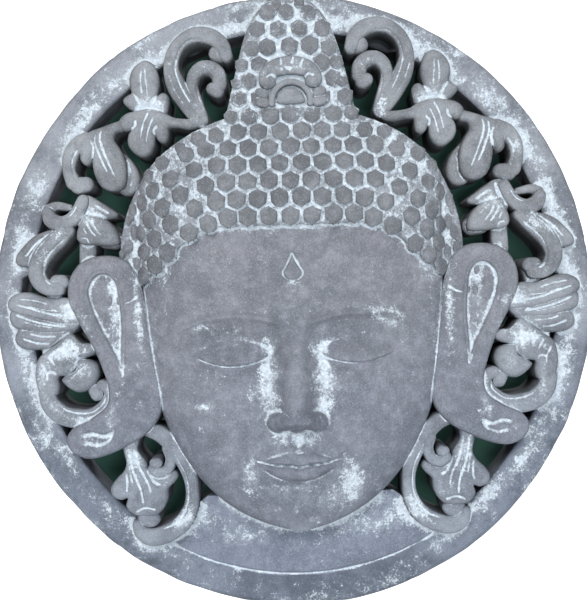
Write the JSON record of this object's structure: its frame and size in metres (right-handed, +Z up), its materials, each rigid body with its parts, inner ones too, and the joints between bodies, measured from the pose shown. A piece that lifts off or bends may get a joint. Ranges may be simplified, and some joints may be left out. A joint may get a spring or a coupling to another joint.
{
  "type": "wall plaque",
  "caption": "Round pierced wall plaque in cast stone: a calm head with curled hair and a topknot inside a plain rim, with scrolls and leaves cut through on both sides.",
  "frame": {"origin": "middle of the flat back, where the plaque meets the wall", "axes": "+Z up, +X to the right as seen from the front, -Y out of the face, +Y into the wall"},
  "size_m": [0.586, 0.1078, 0.6],
  "materials": {
    "cast_stone": "fine-grained grey cast stone, matt, with a white chalky wash rubbed into the recesses"
  },
  "bodies": {
    "root": {"buddha_plaque": "cast_stone"}
  },
  "joints": []
}
